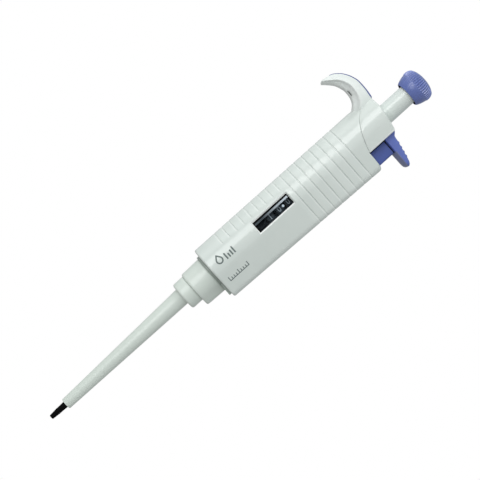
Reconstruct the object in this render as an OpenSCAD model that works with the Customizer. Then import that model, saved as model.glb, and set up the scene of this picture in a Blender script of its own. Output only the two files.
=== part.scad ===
// Single-channel adjustable micropipette, 0.5 to 10 microlitres.
// Origin: the tip cone's lower end, on the plunger axis. +Z runs up to the thumb knob,
// +X points to the tip ejector, -X to the finger hook and -Y to the side with the counter window.

/* [Handle] */
// Height of the handle's lower edge above the tip end
handle_z = 103.3; // [100:0.1:108]
// Radius of the handle's round side at its lower edge
handle_r_low = 12.9; // [12.7:0.1:13.4]
// Radius of the round side at the top of the cap
handle_r_top = 12.0; // [12:0.1:12.6]
// Distance from the plunger axis to the ejector side, at the lower edge
handle_right_low = 15.5; // [15.2:0.1:16.5]
// Distance from the plunger axis to the ejector side, at the shoulder
handle_right_top = 17.9; // [17.7:0.1:18.5]
// Half depth of the flatter ejector side
slab_half_depth = 9.0; // [8.5:0.1:9.5]
// Radius of the handle's inner bore
cavity_r = 10.6; // [10.5:0.05:10.8]

/* [Grip] */
// Distance from one grip groove to the next
groove_pitch = 4.57; // [4:0.01:4.65]
// Height of one groove
groove_h = 0.8; // [0.5:0.1:1.2]
// Depth of one groove
groove_depth = 0.3; // [0.2:0.05:0.6]
// Grooves that run right round the handle
full_grooves = 8; // [4:1:8]
// Shorter grooves below them, on the hook side only
short_grooves = 9; // [4:1:9]

/* [Window] */
// Width of the counter window
window_w = 5.5; // [4:0.1:6.2]
// Height of the counter window
window_h = 20.9; // [18:0.1:22]
// Sideways offset of the window from the plunger axis
window_x = -1.3; // [-1.6:0.1:0]

/* [Hook] */
// Width of the finger hook
hook_w = 15.2; // [12:0.2:15.4]
// Thickness of the coloured strip along the hook's back
inlay_t = 1.1; // [0.9:0.1:1.4]
// How far the coloured strip stands proud of the hook
inlay_proud = 0.5; // [0.2:0.1:0.6]
// Width of the coloured strip
inlay_w = 13; // [8:0.5:13.5]

/* [Plunger] */
// First stroke, which draws the set volume
first_stroke = 10.5; // [9:0.1:10.5]
// Further blow-out stroke
blowout_stroke = 2.5; // [1.5:0.1:2.5]
// Radius of the plunger stem
stem_r = 4.83; // [4.6:0.01:4.85]
// Largest radius of the thumb knob
knob_r = 8.4; // [7.8:0.1:8.8]
// Flutes round the thumb knob
knob_flutes = 42; // [24:2:48]
// Radius of the piston
piston_r = 0.55; // [0.45:0.01:0.6]
// Running clearance between sliding or turning parts
run_gap = 0.06; // [0.02:0.01:0.09]

/* [Ejector] */
// Travel of the ejector button
eject_travel = 7; // [5:0.5:7]
// Width of the ejector button's block
eject_w = 7.6; // [7:0.1:7.6]
// Depth of the ejector button's block
eject_d = 11; // [9:0.5:12]
// Width of the ejector paddle
paddle_d = 14; // [12:0.5:15]

/* [Nose] */
// Radius of the sealing land that a disposable tip fits on
tip_land_r = 1.5; // [1.45:0.01:1.55]
// Length of the sealing land
tip_land_l = 3.0; // [2.5:0.1:3.2]
// Outer radius of the ejector sleeve at its lower end
sleeve_r_low = 2.8; // [2.7:0.05:3]
// Outer radius of the ejector sleeve under its collar
sleeve_r_top = 4.3; // [4.2:0.05:4.5]
// How far the sleeve leans towards the hook side at its top
sleeve_lean = 0.85; // [0:0.05:0.85]

/* [Counter] */
// Radius of the number wheels
wheel_r = 6.6; // [6.4:0.1:6.8]
// Teeth on a number wheel's carry ring
wheel_teeth = 20; // [20]
// Teeth on a carry pinion
pinion_teeth = 8; // [8]
// Distance between number wheels
wheel_pitch = 5.5; // [5.5:0.1:5.6]

/* [Hidden] */
$fn = 64;
eps = 0.02;
big = 60;

// Colours
white = "#dfe6e3";
blue = "#5a6fc8";
black = "#1c1f24";
steel = "#b9bdc2";
brass = "#c9a45a";
grey = "#8d9398";

// Heights on the handle
shoulder_h = 92.1;
shoulder_z = handle_z + shoulder_h;
cap_top_z = handle_z + 110.6;
cap_right_x = 8.5;
cap_gap = 0.06;
corner_r = 3.5;
groove_top_z = handle_z + 85.9;
window_z = handle_z + 39.9;
ledge_z = handle_z + 52;
press_travel = first_stroke + blowout_stroke;

// Ejector side
eject_x = cap_right_x + 0.1;
arm_t = 1.6;
arm_d = 5;
arm_low_x = 7.9;
arm_high_x = 9.5;
spring_x = 13.7;
guide_pin_r = 0.9;
block_z = ledge_z + 28;
guide_pin_top = block_z + 4.7;

// Stem guide
guide_r = 6.9;
guide_flange_r = 7.8;
guide_z = handle_z + 100.4;

// Counter
tens_z = handle_z + 35.75;
band_h = 3.7;
ring_h = 1.7;
hub_r = 3.0;
gear_module = 0.52;
ring_pitch_r = gear_module * wheel_teeth / 2;
pinion_pitch_r = gear_module * pinion_teeth / 2;
pinion_dist = ring_pitch_r + pinion_pitch_r;
pinion_dir = 135;
pinion_pin_r = 0.5;
bearing_z = handle_z + 29.5;

// Nose
barrel_r = 5.45;

// Plunger
hex_r = 1.7;
knob_z = handle_z + 124.7;
spindle_low_z = handle_z + 27.9;
spindle_high_z = handle_z + 72.5;
flange_z = handle_z + 8.7;
spring_low_z = handle_z - 14.8;

// Ways round the body: radius and far side at a height
function taper(a, b, z) = a + (b - a) * (z - handle_z) / (cap_top_z - handle_z);
function round_r(z) = taper(handle_r_low, handle_r_top, z);
function right_x(z) = taper(handle_right_low, handle_right_top + 0.4, z);

// Point on a cubic curve through p[0] and p[3], drawn towards p[1] and p[2]
function bezier(p, t) = pow(1 - t, 3) * p[0] + 3 * t * pow(1 - t, 2) * p[1]
    + 3 * t * t * (1 - t) * p[2] + pow(t, 3) * p[3];
function curve(p, steps) = [for (i = [0:steps]) bezier(p, i / steps)];
function arc(cx, cy, r, a0, a1, steps) =
    [for (i = [0:steps]) let(a = a0 + (a1 - a0) * i / steps) [cx + r * cos(a), cy + r * sin(a)]];

// Side outlines, as [x, height above the handle's lower edge]
seam = concat([[-9.5, 102.65]], curve([[-9.5, 102.55], [-6.5, 97.6], [0, 94.4], [cap_right_x, 92.2]], 10));
hook_outer = [[-9.7, 110.4], [-19.3, 113.2], [-31.0, 110.9], [-31.8, 98.6]];
inlay_centre = [-17.5, 98];
hook_inner = [[-11.9, 99.0], [-15.2, 105.2], [-24.8, 106.8], [-30.0, 98.2]];

module up(z) {
    translate([0, 0, z]) children();
}

module side_plate(depth) {
    rotate([90, 0, 0]) linear_extrude(depth, center = true) children();
}

module tube(r_out, r_in, z0, z1) {
    up(z0) difference() {
        cylinder(r = r_out, h = z1 - z0);
        up(-eps) cylinder(r = r_in, h = z1 - z0 + 2 * eps);
    }
}

// One level of the handle's outside: a round side and two corners on the ejector side
module body_slice(z) {
    up(z) {
        cylinder(r = round_r(z), h = 0.01, $fn = 48);
        for (side = [-1, 1])
            translate([right_x(z) - corner_r, side * (slab_half_depth - corner_r), 0])
                cylinder(r = corner_r, h = 0.01, $fn = 32);
    }
}

module body_outer() {
    hull() {
        body_slice(handle_z);
        body_slice(cap_top_z);
    }
}

// Flat outline of the handle at a height, drawn in by inset
module section(z, inset) {
    cx = right_x(z) - corner_r;
    cy = slab_half_depth - corner_r;
    big_r = round_r(z) - inset;
    small_r = corner_r - inset;
    turn = atan2(cy, cx) + acos((big_r - small_r) / norm([cx, cy]));
    dir = [cos(turn), sin(turn)];
    front = [(big_r - eps) * dir, [cx, cy] + (small_r - eps) * dir, [cx + small_r - eps, cy]];
    circle(r = big_r);
    polygon(concat(front, [for (i = [2:-1:0]) [front[i][0], -front[i][1]]]));
    for (side = [-1, 1]) translate([cx, side * cy]) circle(r = small_r);
}

module groove_ring(z) {
    up(z - groove_h / 2) linear_extrude(groove_h) difference() {
        square(big, center = true);
        section(z, groove_depth);
    }
}

module grooves() {
    for (i = [0:full_grooves - 1]) groove_ring(groove_top_z - i * groove_pitch);
    for (i = [0:short_grooves - 1])
        intersection() {
            groove_ring(groove_top_z - (full_grooves + i) * groove_pitch);
            translate([-big - 6.5, -big / 2, 0]) cube([big, big, cap_top_z]);
        }
}

// Side outline of the handle below its seam with the cap
module handle_outline() {
    shoulder = 1.7;
    polygon(concat(
        [[-13.5, 0], [20, 0], [20, shoulder_h - 2]],
        arc(right_x(shoulder_z) - shoulder, shoulder_h - shoulder, shoulder, 0, 90, 6),
        [[cap_right_x + 0.3, shoulder_h]],
        [for (i = [len(seam) - 1:-1:0]) seam[i]],
        [[-12.1, 98.85], [-13.5, 96.25]]));
}

module handle_shell() {
    color(white) difference() {
        intersection() {
            body_outer();
            up(handle_z) side_plate(big) handle_outline();
        }
        grooves();
        up(handle_z - 1) cylinder(r = cavity_r, h = 120);
        ejector_channel();
        window_cut(window_w, window_h);
        translate([spring_x, 0, ledge_z + 0.5]) cylinder(r = guide_pin_r, h = 5);
    }
}

// Room for the ejector's block above the ledge and for its arm below it
module ejector_channel() {
    half = eject_d / 2 + 0.1;
    translate([0, -half, ledge_z + 3]) cube([eject_x + eject_w + 0.1, 2 * half, big]);
    translate([0, -half, handle_z - 1]) cube([13.6, 2 * half, ledge_z - handle_z + 1]);
    translate([0, -half, ledge_z - 1]) cube([11.4, 2 * half, 6]);
}

module window_cut(w, h) {
    translate([window_x - w / 2, -big / 2, window_z - h / 2]) cube([w, big / 2 - 5, h]);
}

module window_lens() {
    color("#8fa3ad", 0.3) intersection() {
        window_cut(window_w - 0.1, window_h - 0.1);
        tube(11.9, 11.1, window_z - window_h, window_z + window_h);
    }
}

// Closed side outline of the cap above the seam
module cap_outline() {
    polygon(concat(
        [[-12.0, 98.95 + cap_gap]],
        [for (p = seam) p + [0, cap_gap]],
        [[cap_right_x, 108.2], [4.8, 108.9], [-4.8, 110.4], [-13, 110.6]]));
}

// Cross-section of the hook: [share of half width, share of the way from back to inside]
hook_section = [[0.9, 0], [1, 0.07], [1, 0.5], [0.62, 0.76], [0.4, 1], [-0.4, 1], [-0.62, 0.76],
    [-1, 0.5], [-1, 0.07], [-0.9, 0]];

function hook_ring(t) = [for (p = hook_section)
    let(a = bezier(hook_outer, t), b = bezier(hook_inner, t), q = a + (b - a) * p[1])
    [q[0], p[0] * hook_w / 2, q[1]]];

// Closed solid through a row of rings with the same even number of points
module loft(rings) {
    n = len(rings[0]);
    m = len(rings);
    sides = [for (i = [0:m - 2], j = [0:n - 1]) let(a = i * n + j, b = i * n + (j + 1) % n)
        each [[a, b, b + n], [a, b + n, a + n]]];
    ends = [for (s = [0, 1], j = [0:n / 2 - 2])
        let(o = s * (m - 1) * n, a = o + j, b = o + n - 1 - j, c = [[a, b, b - 1], [a, b - 1, a + 1]])
        each (s == 0 ? c : [for (f = c) [f[2], f[1], f[0]]])];
    polyhedron([for (r = rings, p = r) p], concat(sides, ends), convexity = 6);
}

module hook() {
    steps = 22;
    root = [for (p = hook_ring(0)) p + [3.4, 0, 0]];
    up(handle_z) loft(concat([for (i = [steps:-1:0]) hook_ring(i / steps)], [root]));
}

// The coloured strip: a band let into the hook's back
module inlay_band(t, w) {
    steps = 20;
    back = [for (i = [0:steps]) bezier(hook_outer, i / steps * 0.88)];
    lift = [for (p = back) (p - inlay_centre) / norm(p - inlay_centre)];
    up(handle_z) side_plate(w) polygon(concat(
        [for (i = [0:steps]) back[i] + inlay_proud * lift[i]],
        [for (i = [steps:-1:0]) back[i] - (t - inlay_proud) * lift[i]]));
}

module hook_cap() {
    color(white) difference() {
        union() {
            intersection() {
                body_outer();
                up(handle_z) side_plate(big) cap_outline();
                translate([-big + cap_right_x, -big / 2, 0]) cube([big, big, 300]);
            }
            intersection() {
                hook();
                up(handle_z) side_plate(big)
                    polygon([[-40, 89], [-12.1, 89], [-12.1, 99.05], [-9.5, 102.75], [-4, 102.85],
                        [-4, 120], [-40, 120]]);
            }
            intersection() {
                tube(cavity_r - 0.1, guide_flange_r, handle_z + 86, handle_z + 105);
                translate([-big + cap_right_x - 0.1, -big / 2, 0]) cube([big, big, 300]);
            }
        }
        inlay_band(inlay_t, inlay_w);
        up(handle_z) cylinder(r = guide_flange_r, h = guide_z + 3 - handle_z);
        up(handle_z) cylinder(r = guide_r, h = guide_z + 7 - handle_z);
        up(handle_z) cylinder(r = stem_r + 0.09, h = 150);
    }
}

module hook_inlay() {
    color(blue) inlay_band(inlay_t - cap_gap / 2, inlay_w - cap_gap);
}

module stem_guide() {
    color(grey) {
        difference() {
            union() {
                up(guide_z) cylinder(r = guide_flange_r - 0.05, h = 3);
                up(guide_z) cylinder(r = guide_r, h = 7);
            }
            up(guide_z - 1) cylinder(r = stem_r + run_gap, h = 9);
        }
    }
}

// Inner frame that carries the counter, the volume thread and the barrel
module chassis() {
    low = handle_z + 2.6;
    high = block_z - eject_travel - 0.3;
    color(black) difference() {
        union() {
            tube(cavity_r - 0.1, 8.6, low, high);
            tube(9.0, hub_r + 0.1, bearing_z, tens_z - 0.1);
            tube(9.0, hub_r + 2.6, handle_z + 51.8, handle_z + 54.5);
            tube(9.0, 6.5, handle_z + 5.3, handle_z + 6.8);
        }
        translate([6.9, -3.2, low - 1]) cube([10, 6.4, 100]);
        translate([window_x - 4.2, -big, bearing_z + 5.2]) cube([8.4, big - 5, 17]);
        difference() {
            translate([window_x - 4.2, -big - 3, bearing_z - 1]) cube([8.4, big, 7]);
            cylinder(r = wheel_r, h = 300);
        }
        intersection() {
            translate([window_x - 4.2, -big - 3, bearing_z - 1]) cube([8.4, big, 7]);
            for (i = [0:3]) tube(big, wheel_r - 0.3, bearing_z + 0.9 + i * 1.3, bearing_z + 1.3 + i * 1.3);
        }
        rotate([0, 0, pinion_dir]) translate([pinion_dist, 0, bearing_z + 3]) {
            cylinder(r = pinion_pin_r + eps, h = 30);
            up(tens_z - bearing_z - 3.1) cylinder(r = pinion_pitch_r + 0.7, h = 16.2);
        }
    }
}

module thread_nut() {
    color(brass) tube(8.55, 5.6, handle_z + 58, handle_z + 68);
}

module pinion_shaft() {
    color(steel) rotate([0, 0, pinion_dir]) translate([pinion_dist, 0, bearing_z + 3.1])
        cylinder(r = pinion_pin_r, h = 21);
}

module bottom_plate() {
    z = handle_z - 1.3;
    color(white) difference() {
        union() {
            up(z) linear_extrude(1.25) {
                circle(r = 9.7);
                translate([0, -6.5]) square([13.8, 13]);
            }
            up(handle_z - 0.1) cylinder(r = cavity_r - 0.05, h = 2.6);
        }
        up(z - 1) cylinder(r = barrel_r + 0.1, h = 10);
        translate([arm_low_x - 0.2, -arm_d / 2 - 0.2, z - 1]) cube([arm_t + 0.4, arm_d + 0.4, 10]);
        translate([10.3, -10, handle_z]) cube([6, 20, 6]);
    }
}

// Long cylinder that guides the piston and carries the tip cone
module barrel() {
    seat = handle_z + 2.6;
    color(white) difference() {
        rotate_extrude() polygon([[0, 16.6], [1.85, 16.6], [1.85, 18], [2.65, 80], [2.65, 87.5],
            [barrel_r, 87.5], [barrel_r, seat], [7.4, seat], [7.4, seat + 2.6], [6.4, seat + 2.6],
            [6.4, handle_z + 10.8], [0, handle_z + 10.8]]);
        cylinder(r = piston_r + 0.25, h = 200);
        up(15) cylinder(r = 1.35, h = 19);
        up(60) cylinder(r = 2.1, h = 100);
        up(spring_low_z) cylinder(r = 4.6, h = 100);
    }
}

module barrel_nut() {
    color(grey) up(handle_z + 6.85) rotate([0, 0, 30]) difference() {
        cylinder(r = 8.2, h = 3.9, $fn = 6);
        up(-1) cylinder(r = 6.45, h = 8);
    }
}

module tip_cone() {
    land_z = 4;
    land_end = land_z + tip_land_l;
    color(black) difference() {
        union() {
            rotate_extrude() polygon(concat([[0, 0]], arc(1.05, 0.3, 0.3, -90, 0, 5),
                [[tip_land_r - 0.05, land_z - 0.05], [tip_land_r, land_z], [tip_land_r, land_end],
                [1.75, 11], [1.85, 16.5], [0, 16.5]]));
            up(16) cylinder(r = 1.3, h = 8);
        }
        up(-1) cylinder(r = 0.35, h = 4);
        up(2.4) cylinder(r = piston_r + run_gap, h = 30);
    }
}

module piston_seal() {
    color("white") tube(1.3, piston_r + 0.01, 24.1, 26.4);
}

module o_ring() {
    color(black) rotate_extrude() translate([0.98, 26.8]) circle(r = 0.33, $fn = 24);
}

module seal_retainer() {
    color(steel) tube(1.34, piston_r + 0.15, 27.3, 33.9);
}

// Turns with the knob; its thread sets how far the plunger rises
module volume_spindle() {
    color(brass) difference() {
        union() {
            up(spindle_low_z) cylinder(r = hub_r, h = spindle_high_z - spindle_low_z);
            up(handle_z + 55) cylinder(r = 5.5, h = spindle_high_z - handle_z - 55);
        }
        for (i = [0:14]) tube(6, 5.1, handle_z + 56.2 + i, handle_z + 56.7 + i);
        up(spindle_low_z - 1) cylinder(r = hex_r + 0.08, h = 60, $fn = 6);
    }
}

// A carry tooth with straight flanks, pointing along +X
module tooth(root_r, tip_r, root_w, tip_w) {
    polygon([[root_r - 0.3, -root_w / 2], [root_r, -root_w / 2], [tip_r, -tip_w / 2],
        [tip_r, tip_w / 2], [root_r, root_w / 2], [root_r - 0.3, root_w / 2]]);
}

module carry_ring(teeth, pitch_r, h) {
    linear_extrude(h) {
        circle(r = pitch_r - gear_module);
        for (i = [0:teeth - 1])
            rotate(i * 360 / teeth) tooth(pitch_r - gear_module, pitch_r + 0.6 * gear_module, 0.72, 0.36);
    }
}

// A number wheel: a band for the numbers, with a carry ring on top of it
module number_wheel(z, ring, bore) {
    difference() {
        union() {
            up(z) cylinder(r = wheel_r, h = band_h);
            if (ring) up(z + band_h - eps) rotate([0, 0, pinion_dir + 180 / wheel_teeth])
                carry_ring(wheel_teeth, ring_pitch_r, ring_h);
            if (!ring) up(z + band_h - eps) cylinder(r = 4.4, h = 1.2);
        }
        up(z - 1) cylinder(r = bore, h = band_h + 4);
    }
}

module tenths_wheel() {
    color(black) number_wheel(tens_z + 2 * wheel_pitch, false, hub_r + 0.005);
}

module ones_wheel() {
    color(black) number_wheel(tens_z + wheel_pitch, true, hub_r + run_gap);
}

module tens_wheel() {
    color(black) number_wheel(tens_z, true, hub_r + run_gap);
}

module carry_pinion(z) {
    rotate([0, 0, pinion_dir]) translate([pinion_dist, 0, z]) difference() {
        carry_ring(pinion_teeth, pinion_pitch_r, ring_h - 0.2);
        up(-1) cylinder(r = pinion_pin_r + run_gap, h = 5);
    }
}

module upper_pinion() {
    color("white") carry_pinion(tens_z + wheel_pitch + band_h + 0.1);
}

module lower_pinion() {
    color("white") carry_pinion(tens_z + band_h + 0.1);
}

// Thumb knob: domed and fluted, hollow underneath
module thumb_knob() {
    color(blue) difference() {
        up(knob_z) rotate_extrude() polygon(concat([[0, 0.5], [5.6, 0.3], [6.0, 0], [6.5, 0.4], [7.2, 1.8]],
            [for (a = [-25:10:75]) [knob_r - 3.2 + 3.2 * cos(a), 6.6 + 3.9 * sin(a)]],
            arc(0, 11.2 - 22.3, 22.3, 74.5, 90, 5)));
        for (i = [0:knob_flutes - 1])
            rotate([0, 0, i * 360 / knob_flutes]) translate([knob_r + 0.2, 0, knob_z + 6.2])
                cylinder(r = 0.55, h = 3.4, $fn = 16);
        up(knob_z - 1) cylinder(r = 5.8, h = 4);
        up(knob_z) cylinder(r = 4, h = 8);
    }
}

module plunger_stem() {
    low = spindle_high_z + press_travel + 3.5;
    color(white) difference() {
        union() {
            up(low) cylinder(r = stem_r, h = knob_z + 2.98 - low);
            up(knob_z) cylinder(r = 3.98, h = 7.9);
        }
        up(low - 1) cylinder(r = hex_r + 0.01, h = 10, $fn = 6);
    }
}

module drive_rod() {
    color(steel) up(flange_z + 3.2) cylinder(r = hex_r, h = handle_z + 97.9 - flange_z - 3.2, $fn = 6);
}

module stop_collar() {
    color(steel) tube(4, hex_r + 0.01, spindle_low_z - 2.9, spindle_low_z - 0.05);
}

// Carries the piston and takes the push of the main spring
module piston_holder() {
    color(grey) difference() {
        union() {
            up(74) cylinder(r = 1.9, h = flange_z - 73);
            up(flange_z) cylinder(r = 4.3, h = 2);
            up(flange_z + 1) cylinder(r = 3, h = 5.4);
        }
        up(73) cylinder(r = piston_r + 0.01, h = 11.1);
        up(flange_z + 3.1) cylinder(r = hex_r + 0.01, h = 8, $fn = 6);
    }
}

module piston() {
    color(steel) up(16) cylinder(r = piston_r, h = 68);
}

// One cut across a spring's wire, at an angle round the coil and a height
function wire_ring(r, wire, a, z) = [for (k = [0:5])
    let(q = r + wire * cos(60 * k)) [q * cos(a), q * sin(a), z + wire * sin(60 * k)]];

// A coil of round wire whose last half turn at each end lies flat
module coil(r, wire, turns, h) {
    steps = 12;
    flat = steps / 2;
    last = turns * steps;
    rise = (h - 2 * wire) / (last - 2 * flat);
    loft([for (i = [last:-1:0])
        wire_ring(r, wire, 360 * i / steps, wire + rise * min(max(i - flat, 0), last - 2 * flat))]);
}

module main_spring() {
    color(steel) up(spring_low_z + 0.1) coil(2.55, 0.3, 9, flange_z - spring_low_z - 0.2);
}

module blowout_spring() {
    color(steel) up(spring_low_z + 0.1) coil(3.85, 0.4, 5, flange_z - spring_low_z - first_stroke - 0.3);
}

module ejector_spring() {
    color(steel) translate([spring_x, 0, ledge_z + 3.1]) coil(1.8, 0.25, 7, 24.7);
}

module ejector_guide_pin() {
    low = ledge_z + 0.5;
    color(steel) translate([spring_x, 0, low]) cylinder(r = guide_pin_r, h = guide_pin_top - low);
}

// Side outline of the thumb paddle above the block
module paddle_outline() {
    polygon(concat([[eject_x, 102.6], [eject_x, 108.6], [10.1, 106.9]], paddle_ridges(),
        arc(23.7, 102.25, 1.82, 66, -50, 7), [[24.1, 100.9], [16.4, 101.0], [15.6, 102.0]]));
}

function paddle_top(x) = 106.7 - (x - 10.1) * 0.2;
function paddle_ridges() = [for (x = [14.05:2.38:21.3], q = [[-0.5, 0], [0, 0.35], [0.5, 0]])
    [x + q[0], paddle_top(x + q[0]) + q[1]]];

module ejector_button() {
    color(blue) difference() {
        union() {
            up(handle_z) side_plate(paddle_d) paddle_outline();
            hull() {
                translate([15, -paddle_d / 2 + 0.2, handle_z + 101.6]) cube([9, paddle_d - 0.4, 1]);
                translate([15.5, -3.5, handle_z + 100.4]) cube([8.5, 7, 1]);
            }
            translate([eject_x, -eject_d / 2, block_z]) cube([eject_w, eject_d, handle_z + 103 - block_z]);
        }
        translate([spring_x, 0, block_z - 1])
            cylinder(r = guide_pin_r + 0.08, h = guide_pin_top - block_z + eject_travel + 3);
        translate([arm_high_x - eps, -arm_d / 2 - eps, block_z - 1])
            cube([arm_t + 2 * eps, arm_d + 2 * eps, 7.1]);
    }
}

// Flat arm from the button down to the hood, stepped in towards the axis
module ejector_arm() {
    top = block_z + 6;
    low = handle_z - 11;
    step = handle_z + 20;
    color(steel) side_plate(arm_d) polygon([[arm_low_x, low], [arm_low_x + arm_t, low],
        [arm_low_x + arm_t, step - 0.8], [arm_high_x + arm_t, step + 1.6], [arm_high_x + arm_t, top],
        [arm_high_x, top], [arm_high_x, step + 2.4], [arm_low_x, step]]);
}

module ejector_hood() {
    z0 = 91.0;
    z1 = handle_z - 1.35;
    color(white) difference() {
        hull() {
            up(z0) cylinder(r = 7.5, h = 0.1, $fn = 48);
            up(z0 + 1.5) cylinder(r = 8.9, h = z1 - z0 - 1.5, $fn = 48);
            translate([6.6, 0, z0 + 0.5]) cylinder(r = 3.6, h = 0.1, $fn = 48);
            translate([6.6, 0, z0 + 1.2]) cylinder(r = 4, h = z1 - z0 - 1.2, $fn = 48);
        }
        up(z0 - 1) cylinder(r = barrel_r + run_gap, h = 20);
        translate([arm_low_x, -arm_d / 2, handle_z - 11]) cube([arm_t, arm_d, 20]);
    }
}

// Tapered tube that leans a little: its axis is upright at the tip and off to one side at the collar
module leaning_cone(thin, z0, z1) {
    hull() {
        up(z0) cylinder(r = sleeve_r_low - thin, h = eps);
        translate([-sleeve_lean, 0, z1]) cylinder(r = sleeve_r_top - thin, h = eps);
    }
}

module ejector_sleeve() {
    low = 9.4;
    collar_low = 84.7;
    collar_top = handle_z - 12.35;
    wall = 0.6;
    color(white) difference() {
        union() {
            up(low) cylinder(r1 = sleeve_r_low - 0.25, r2 = sleeve_r_low, h = 0.4);
            leaning_cone(0, low + 0.4, collar_low);
            translate([-sleeve_lean / 2, 0, 0]) rotate_extrude() polygon(concat(
                [[0, collar_low]], arc(6.3, collar_low + 1, 1, -90, 0, 6),
                [[7.3, collar_top], [0, collar_top]]));
        }
        up(low - 1) cylinder(r = sleeve_r_low - wall, h = 1.5);
        leaning_cone(wall, low + 0.4, collar_low + 2);
        up(collar_low + 1.9) cylinder(r = barrel_r + run_gap, h = 10);
    }
}

handle_shell();
hook_cap();
hook_inlay();
window_lens();
chassis();
thread_nut();
stem_guide();
bottom_plate();
barrel();
barrel_nut();
tip_cone();
piston_seal();
o_ring();
seal_retainer();
pinion_shaft();
ejector_guide_pin();
volume_spindle();
tenths_wheel();
ones_wheel();
tens_wheel();
upper_pinion();
lower_pinion();
thumb_knob();
plunger_stem();
drive_rod();
stop_collar();
piston_holder();
piston();
main_spring();
blowout_spring();
ejector_spring();
ejector_button();
ejector_arm();
ejector_hood();
ejector_sleeve();
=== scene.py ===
"""Single-channel adjustable micropipette, standing on its tip cone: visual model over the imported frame."""
import math

import bmesh
import bpy
from mathutils import Matrix, Vector


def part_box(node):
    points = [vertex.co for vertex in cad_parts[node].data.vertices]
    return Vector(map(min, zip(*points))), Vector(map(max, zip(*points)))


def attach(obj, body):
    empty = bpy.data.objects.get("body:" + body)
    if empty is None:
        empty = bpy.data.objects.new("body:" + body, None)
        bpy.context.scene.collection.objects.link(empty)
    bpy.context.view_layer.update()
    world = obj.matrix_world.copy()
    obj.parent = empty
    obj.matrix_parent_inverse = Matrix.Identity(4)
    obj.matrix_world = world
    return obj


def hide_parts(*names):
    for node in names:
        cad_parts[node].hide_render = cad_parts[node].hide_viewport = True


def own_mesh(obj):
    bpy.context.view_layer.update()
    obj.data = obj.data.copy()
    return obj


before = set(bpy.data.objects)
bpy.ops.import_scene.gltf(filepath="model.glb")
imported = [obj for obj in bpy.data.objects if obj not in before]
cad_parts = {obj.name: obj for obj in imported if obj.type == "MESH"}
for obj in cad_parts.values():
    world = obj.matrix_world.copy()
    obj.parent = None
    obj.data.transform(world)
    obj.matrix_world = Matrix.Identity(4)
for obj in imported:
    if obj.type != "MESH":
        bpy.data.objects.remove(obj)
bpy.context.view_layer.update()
MM = 0.001


def low_mm(node):
    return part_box(node)[0] / MM


def high_mm(node):
    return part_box(node)[1] / MM


# ---------------------------------------------------------------- main dimensions, in mm
HANDLE_Z = low_mm("handle_shell").z
CAP_TOP_Z = HANDLE_Z + 110.6
SHOULDER_Z = high_mm("ejector_guide_pin").z + 7.4
CAP_X = 8.5
R_LOW, R_TOP = 12.9, 12.0
RIGHT_LOW, RIGHT_TOP = 15.8, 18.65
TAPER_H = 111.7
CORNER_R, SLAB_Y = 3.5, 9.0
BORE_R = 10.6
WINDOW_X = (-4.7, -4.02, 1.75, 2.4)
WINDOW_Z = (131.75, 132.4, 153.55, 154.15)
GROOVE_TOP, GROOVE_PITCH = 189.2, 4.57
FULL_GROOVES, SHORT_GROOVES = 8, 9
WHEEL_R = 6.6
WINDOW_R = 12.58
LENS_FACE_R, LENS_BACK_R = 11.75, 11.15
STEM_R = 4.83


# ---------------------------------------------------------------- materials
PATCH_SCALE = 45
GRAIN_SCALE, GRAIN_HEIGHT = 900, 0.0002


def srgb(r, g, b):
    """Colour for the shaders from the three values, 0 to 255, that a screen shows."""
    shares = [c / 255 for c in (r, g, b)]
    return tuple(c / 12.92 if c <= 0.04045 else ((c + 0.055) / 1.055) ** 2.4 for c in shares) + (1,)


def node_tree(name):
    mat = bpy.data.materials.new(name)
    mat.use_nodes = True
    nodes, links = mat.node_tree.nodes, mat.node_tree.links
    bsdf = nodes["Principled BSDF"]
    return mat, nodes, links, bsdf


def noise_node(nodes, links, coord, scale, detail=3, stretch=(1, 1, 1)):
    mapping = nodes.new("ShaderNodeMapping")
    mapping.inputs["Scale"].default_value = stretch
    links.new(coord.outputs["Object"], mapping.inputs["Vector"])
    tex = nodes.new("ShaderNodeTexNoise")
    tex.inputs["Scale"].default_value = scale
    tex.inputs["Detail"].default_value = detail
    links.new(mapping.outputs["Vector"], tex.inputs["Vector"])
    return tex


def remap(nodes, links, source, a, b, lo=0.3, hi=0.7):
    node = nodes.new("ShaderNodeMapRange")
    node.inputs["From Min"].default_value = lo
    node.inputs["From Max"].default_value = hi
    node.inputs["To Min"].default_value = a
    node.inputs["To Max"].default_value = b
    links.new(source, node.inputs["Value"])
    return node.outputs["Result"]


def mix_colour(nodes, links, factor, a, b):
    node = nodes.new("ShaderNodeMix")
    node.data_type = "RGBA"
    links.new(factor, node.inputs["Factor"])
    for value, socket in ((a, node.inputs[6]), (b, node.inputs[7])):
        if isinstance(value, tuple):
            socket.default_value = value
        else:
            links.new(value, socket)
    return node.outputs[2]


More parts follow.
